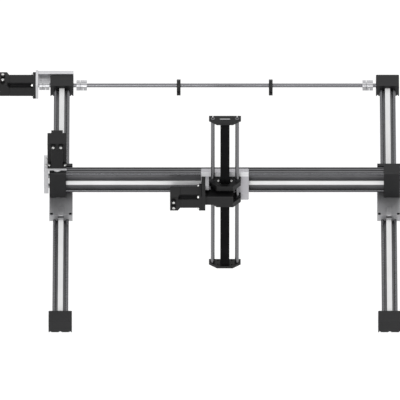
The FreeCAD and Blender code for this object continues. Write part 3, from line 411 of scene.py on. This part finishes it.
def bar(mesh, low, high, edge=0.3):
    """A box between two corners in millimetres, with broken edges."""
    size = [(far - near) * MM for near, far in zip(low, high)]
    middle = [(far + near) / 2 * MM for near, far in zip(low, high)]
    place = Matrix.Translation(middle) @ Matrix.Diagonal((*size, 1))
    verts = bmesh.ops.create_cube(mesh, size=1, matrix=place)["verts"]
    edges = list({edge for vert in verts for edge in vert.link_edges})
    bmesh.ops.bevel(mesh, geom=edges, offset=edge * MM, offset_type="OFFSET", segments=2, profile=0.5,
                    affect="EDGES", clamp_overlap=True, material=-1)


def at(point, direction="+z"):
    """The place of a turned piece: a point in millimetres and the way its Z axis points."""
    return Matrix.Translation([number * MM for number in point]) @ TURNS[direction]


def middle_of(node):
    """The middle of a node's box, in millimetres."""
    low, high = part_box(node)
    return [(near + far) / 2 / MM for near, far in zip(low, high)]


class GANTRY_OT_rails(bpy.types.Operator):
    """Finish the rails: profiles, rods, belts and end blocks"""
    bl_idname = "gantry.rails"
    bl_label = "Finish rails"

    def execute(self, context):
        sizes = context.scene.gantry_sizes
        break_edges(["left_drive_block", "right_drive_block", "left_idler_block", "right_idler_block"],
                    "black_anodised", sizes.plate_edge)
        paint(["left_rail_profile", "right_rail_profile"], "rail_extrusion")
        paint(["rail_rods"], "rod_y")
        paint(["left_rail_belt", "right_rail_belt"], "rail_belt")
        paint(["left_idler_pulley", "right_idler_pulley", "rail_idler_axles"], "shaft")
        return {"FINISHED"}


class GANTRY_OT_drive_line(bpy.types.Operator):
    """Finish the shaft between the rails, its couplings, bearings and supports"""
    bl_idname = "gantry.drive_line"
    bl_label = "Finish drive line"

    def execute(self, context):
        sizes = context.scene.gantry_sizes
        break_edges(["shaft_supports"], "black_anodised", sizes.fine_edge)
        paint(["sync_shaft", "drive_pulleys", "drive_bearings"], "shaft")
        paint(["shaft_couplings", "rail_motor_coupling"], "turned_x")
        paint(["support_bushes"], "bush")
        return {"FINISHED"}


# Each motor: the way it points away from its bracket, and the way its connectors face
MOTORS = {
    "rail_motor": ("-x", "+z"),
    "beam_motor": ("+z", "-y"),
    "ram_motor": ("-x", "-y"),
}


def flange_screws(motor, out):
    """Four screws on the back of a motor's flange, in the corner notches of its stator."""
    sizes = bpy.context.scene.gantry_sizes
    half = sizes.motor_screws / 2 / MM
    turn_out = TURNS[out].to_3x3()
    outward = turn_out @ Vector((0, 0, 1))
    low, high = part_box(motor + "_body")
    reach = abs((high - low).dot(outward)) / MM
    face = Vector(middle_of(motor + "_body")) - outward * reach / 2
    screws = bmesh.new()
    for across in (-half, half):
        for up in (-half, half):
            spot = face + outward * sizes.motor_flange / MM + turn_out @ Vector((across, up, 0))
            socket_screw(screws, at(spot, out))
    finished(motor + "_screws", screws, BODY_OF[motor + "_body"], "nickel")


def connectors(motor, side):
    """Two round connectors: a black ring each, and a bright shell and insert with its pins."""
    bore = bpy.context.scene.gantry_sizes.connector_bore / MM
    low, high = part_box(motor + "_connectors")
    facing = TURNS[side].to_3x3() @ Vector((0, 0, 1))
    height = abs((high - low).dot(facing)) / MM
    foot = Vector(middle_of(motor + "_connectors")) - facing * height / 2
    # The pair's box is longest from one connector to the other, and as wide as one of them
    span = (high - low) / MM
    along = Vector([1 if number == max(span) else 0 for number in span])
    width = sorted(span)[1]
    offset = (max(span) - width) / 2
    outer = width / 2
    ring = [(0, 0), (outer, 0), (outer, height - 1), (outer - 0.8, height), (bore, height),
            (bore, BORE_FLOOR), (0, BORE_FLOOR)]
    shell = bore - 0.2
    inner = shell - SHELL_WALL
    rim = height + 2.2
    insert = height + 0.8
    core = [(0, BORE_FLOOR), (shell, BORE_FLOOR), (shell, rim - 0.6), (shell - 0.5, rim), (inner, rim),
            (inner, insert), (0, insert)]
    rings = bmesh.new()
    cores = bmesh.new()
    for shift in (-offset, offset):
        spot = at(foot + along * shift, side)
        turned(rings, ring, spot, ROUND)
        turned(cores, core, spot, ROUND)
        for pin in range(PINS):
            angle = pin * math.tau / PINS
            stand = Vector((PIN_CIRCLE * math.cos(angle), PIN_CIRCLE * math.sin(angle), insert))
            turned(cores, PIN, spot @ Matrix.Translation(stand * MM), 8)
    body = BODY_OF[motor + "_body"]
    finished(motor + "_connector_rings", rings, body, "enamel", [motor + "_connectors"])
    finished(motor + "_connector_cores", cores, body, "nickel")


class GANTRY_OT_motors(bpy.types.Operator):
    """Finish the three motors: castings, flange screws and connectors"""
    bl_idname = "gantry.motors"
    bl_label = "Finish motors"

    def execute(self, context):
        sizes = context.scene.gantry_sizes
        for motor, (out, side) in MOTORS.items():
            break_edges([motor + "_body", motor + "_cover"], "enamel", sizes.motor_edge)
            flange_screws(motor, out)
            connectors(motor, side)
        return {"FINISHED"}


class GANTRY_OT_brackets(bpy.types.Operator):
    """Finish the brackets of the rail and beam motors, and put screws on them"""
    bl_idname = "gantry.brackets"
    bl_label = "Finish motor brackets"

    def execute(self, context):
        sizes = context.scene.gantry_sizes
        break_edges(["rail_motor_bracket", "beam_motor_bracket"], "bracket", sizes.plate_edge)
        # Two screws hold the beam motor's plate on its side plate
        low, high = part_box("beam_motor_bracket")
        top = high.z / MM
        screws = bmesh.new()
        for y in BEAM_BRACKET_SCREWS:
            socket_screw(screws, at((low.x / MM + BEAM_BRACKET_INSET, y, top - BEAM_BRACKET_SINK)))
        finished("beam_bracket_screws", screws, BODY_OF["beam_motor_bracket"], "nickel")
        # Three screws hold the rail motor's bracket on the back of the drive block
        low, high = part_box("rail_motor_bracket")
        screws = bmesh.new()
        for x, z in RAIL_BRACKET_SCREWS:
            socket_screw(screws, at((x, high.y / MM - RAIL_BRACKET_SINK, z), "+y"))
        finished("rail_bracket_screws", screws, BODY_OF["rail_motor_bracket"], "black_oxide")
        return {"FINISHED"}


class GANTRY_OT_carriages(bpy.types.Operator):
    """Finish the carriages: plates, bearing housings, belt clamps, adapters and screws"""
    bl_idname = "gantry.carriages"
    bl_label = "Finish carriages"

    def execute(self, context):
        sizes = context.scene.gantry_sizes
        break_edges(["left_carriage_plate", "right_carriage_plate", "carriage_housings"], "carriage",
                    sizes.fine_edge)
        # The belt clamps take the paler bracket finish as painted light, to lift them out of the shade of
        # their recess
        break_edges(["rail_belt_clamps"], "bracket", sizes.fine_edge)
        break_edges(["beam_adapters"], "black_anodised", sizes.plate_edge)
        paint(["carriage_bushes"], "bush")
        # A screw in each corner of both plates
        seat = (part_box("carriage_screws")[1].z - sizes.screw_height) / MM
        inset = sizes.screw_inset
        screws = bmesh.new()
        for plate in ("left_carriage_plate", "right_carriage_plate"):
            low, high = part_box(plate)
            for x in (low.x + inset, high.x - inset):
                for y in (low.y + inset, high.y - inset):
                    socket_screw(screws, at((x / MM, y / MM, seat)), shank=CARRIAGE_SHANK)
        finished("carriage_socket_screws", screws, "bridge", "black_oxide",
                 ["carriage_screws"])
        return {"FINISHED"}


class GANTRY_OT_beam(bpy.types.Operator):
    """Finish the beam: profile, rods, belt, pulleys and end blocks"""
    bl_idname = "gantry.beam"
    bl_label = "Finish beam"

    def execute(self, context):
        sizes = context.scene.gantry_sizes
        break_edges(["beam_drive_block", "beam_idler_block"], "black_anodised", sizes.plate_edge)
        paint(["beam_profile"], "beam_extrusion")
        paint(["beam_rods"], "rod_x")
        paint(["beam_belt"], "beam_belt")
        paint(["beam_drive_pulley", "beam_idler_pulley", "beam_idler_axle", "beam_bearings"], "shaft")
        # The beam's coupling is drawn near white: painted highlight, for the bright reflection of its lower
        # rim under the motor plate
        paint(["beam_coupling"], "pale_aluminium_painted_highlight")
        return {"FINISHED"}


class GANTRY_OT_trolley(bpy.types.Operator):
    """Finish the trolley: plate and its painted-light strip, bearing housings, guide plates, drive housing,
    screws
    """
    bl_idname = "gantry.trolley"
    bl_label = "Finish trolley"

    def execute(self, context):
        sizes = context.scene.gantry_sizes
        break_edges(["trolley_plate", "trolley_housings", "trolley_belt_clamp"], "trolley",
                    sizes.plate_edge)
        break_edges(["guide_spacer"], "carriage", sizes.fine_edge)
        break_edges(["upper_guide", "lower_guide", "ram_drive_housing"], "deep_black", sizes.plate_edge)
        paint(["trolley_bushes", "guide_bushes"], "bush")
        paint(["drive_pinion"], "shaft")
        # A pale strip lies on the plate's face, from the upper guide plate to the plate's top: painted
        # light, for the brighter upper part of the face
        low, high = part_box("trolley_plate")
        guide_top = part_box("upper_guide")[1].z / MM
        strip = bmesh.new()
        bar(strip, (low.x / MM + STRIP_SIDE, low.y / MM - STRIP_THICKNESS, guide_top + STRIP_BOTTOM),
            (high.x / MM - STRIP_SIDE, low.y / MM, high.z / MM - STRIP_TOP))
        finished("trolley_painted_light_strip", strip, "trolley", "pale_aluminium_painted_highlight")
        # Two bright screws in the upper guide plate
        screws = bmesh.new()
        for x in GUIDE_SCREWS:
            socket_screw(screws, smaller(at((x, GUIDE_SCREWS_Y, guide_top - GUIDE_SINK)), GUIDE_SCREW))
        finished("guide_screws", screws, "trolley", "nickel")
        return {"FINISHED"}


class GANTRY_OT_ram(bpy.types.Operator):
    """Finish the ram: rods, rack and end plates, with rings, screws and a key"""
    bl_idname = "gantry.ram"
    bl_label = "Finish ram"

    def execute(self, context):
        sizes = context.scene.gantry_sizes
        break_edges(["ram_top_plate", "ram_bottom_plate"], "deep_black", sizes.fine_edge)
        paint(["ram_rods"], "rod_z")
        paint(["ram_rack"], "black_oxide")
        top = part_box("ram_top_plate")[1].z / MM
        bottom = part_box("ram_bottom_plate")[0].z / MM
        screws = bmesh.new()
        rings = bmesh.new()
        for x in (-ROD_X, ROD_X):
            for height, way in ((top, "+z"), (bottom, "-z")):
                end = at((x, ROD_Y, height), way)
                turned(rings, ROD_RING, end, ROUND)
                sunk = end @ Matrix.Translation((0, 0, -ROD_SCREW_SINK * MM))
                socket_screw(screws, smaller(sunk, SMALL_SCREW))
        finished("ram_rod_ends", rings, "ram", "rod_z")
        finished("ram_rod_screws", screws, "ram", "black_oxide")
        # A bright key lies in the top plate, in line with the rods
        key = bmesh.new()
        bar(key, (-KEY_X, KEY_Y[0], top - KEY_SINK), (KEY_X, KEY_Y[1], top + KEY_PROUD))
        finished("ram_top_key", key, "ram", "bracket")
        return {"FINISHED"}


def seen_directly(tree):
    """One for a ray that the camera, a mirror or a glass sends, nought for light that is passed on."""
    path = add(tree, "ShaderNodeLightPath")
    either = add(tree, "ShaderNodeMath", {
        0: path.outputs["Is Camera Ray"], 1: path.outputs["Is Glossy Ray"]}, operation="MAXIMUM")
    return add(tree, "ShaderNodeMath", {0: either.outputs[0], 1: path.outputs["Is Transmission Ray"]},
               operation="MAXIMUM").outputs[0]


class GANTRY_OT_stage(bpy.types.Operator):
    """Make the floor, the lights and the camera"""
    bl_idname = "gantry.stage"
    bl_label = "Make stage"

    def execute(self, context):
        scene = context.scene
        sizes = scene.gantry_sizes
        scene.view_settings.view_transform = "Standard"
        world = bpy.data.worlds.new("SoftStudio")
        scene.world = world
        world.use_nodes = True
        tree = world.node_tree
        tree.nodes.clear()
        strength = add(tree, "ShaderNodeMapRange", {
            "Value": seen_directly(tree), "To Min": WORLD_LIGHT, "To Max": WORLD_SEEN})
        shade = add(tree, "ShaderNodeBackground", {"Color": (1, 1, 1, 1), "Strength": strength.outputs[0]})
        add(tree, "ShaderNodeOutputWorld", {"Surface": shade.outputs[0]})

        mesh = bmesh.new()
        bmesh.ops.create_grid(mesh, x_segments=1, y_segments=1, size=FLOOR_REACH,
                              matrix=Matrix.Translation((0, 0, -sizes.floor_depth)))
        data = bpy.data.meshes.new("Floor")
        mesh.to_mesh(data)
        mesh.free()
        floor = bpy.data.objects.new("Floor", data)
        scene.collection.objects.link(floor)
        # Matt white board: it keeps the shadow, and what the camera sees of it is lifted to white
        board = bpy.data.materials.new("MattWhiteBoard")
        board.use_nodes = True
        tree = board.node_tree
        tree.nodes.clear()
        lift = add(tree, "ShaderNodeMath", {0: seen_directly(tree), 1: FLOOR_GLOW}, operation="MULTIPLY")
        place = add(tree, "ShaderNodeTexCoord").outputs["Object"]
        grain = add(tree, "ShaderNodeTexNoise", {"Vector": place, "Scale": 300.0, "Detail": 2.0})
        bright = [*scene.gantry_colours.floor, 1]
        dull = [share * 0.98 for share in bright[:3]] + [1]
        tone = add(tree, "ShaderNodeMix", {0: grain.outputs["Fac"], 6: dull, 7: bright}, data_type="RGBA")
        matt = add(tree, "ShaderNodeBsdfDiffuse", {"Color": tone.outputs[2]})
        glow = add(tree, "ShaderNodeEmission", {"Strength": lift.outputs[0]})
        both = add(tree, "ShaderNodeAddShader", {0: matt.outputs[0], 1: glow.outputs[0]})
        add(tree, "ShaderNodeOutputMaterial", {"Surface": both.outputs[0]})
        data.materials.append(board)

        for name, spot, power, side in BOXES:
            lamp = bpy.data.lights.new(name, "AREA")
            lamp.energy = power
            lamp.size = side
            light = bpy.data.objects.new(name, lamp)
            light.location = spot
            light.rotation_euler = (LIT - light.location).to_track_quat("-Z", "Y").to_euler()
            light.visible_camera = False
            scene.collection.objects.link(light)

        # A long lens far away, because the photograph shows no convergence
        lens = bpy.data.cameras.new("Camera")
        lens.lens = LENS
        lens.sensor_width = 36
        lens.clip_start = 1
        lens.clip_end = 200
        camera = bpy.data.objects.new("Camera", lens)
        back = Vector((0, -math.cos(LOOK_DOWN), math.sin(LOOK_DOWN)))
        camera.location = Vector(LOOK_AT) * MM + back * sizes.view_distance
        camera.rotation_euler = (-back).to_track_quat("-Z", "Y").to_euler()
        scene.collection.objects.link(camera)
        scene.camera = camera
        return {"FINISHED"}


OPERATORS = (GANTRY_OT_rails, GANTRY_OT_drive_line, GANTRY_OT_motors, GANTRY_OT_brackets,
             GANTRY_OT_carriages, GANTRY_OT_beam, GANTRY_OT_trolley, GANTRY_OT_ram, GANTRY_OT_stage)


class GANTRY_PT_panel(bpy.types.Panel):
    """Sizes, colours and operators of the gantry robot"""
    bl_idname = "GANTRY_PT_panel"
    bl_label = "Gantry robot"
    bl_space_type = "VIEW_3D"
    bl_region_type = "UI"
    bl_category = "Gantry"

    def draw(self, context):
        for group in (context.scene.gantry_sizes, context.scene.gantry_colours):
            for name in group.bl_rna.properties.keys():
                if name not in ("rna_type", "name"):
                    self.layout.prop(group, name)
        for operator in OPERATORS:
            self.layout.operator(operator.bl_idname)


CLASSES = (GantryColours, GantrySizes, *OPERATORS, GANTRY_PT_panel)


def register():
    for entry in CLASSES:
        bpy.utils.register_class(entry)
    bpy.types.Scene.gantry_colours = PointerProperty(type=GantryColours)
    bpy.types.Scene.gantry_sizes = PointerProperty(type=GantrySizes)


def unregister():
    del bpy.types.Scene.gantry_sizes
    del bpy.types.Scene.gantry_colours
    for entry in reversed(CLASSES):
        bpy.utils.unregister_class(entry)


def main():
    register()
    make_finishes()
    for operator in OPERATORS:
        group, name = operator.bl_idname.split(".")
        getattr(getattr(bpy.ops, group), name)()


if __name__ == "__main__":
    main()
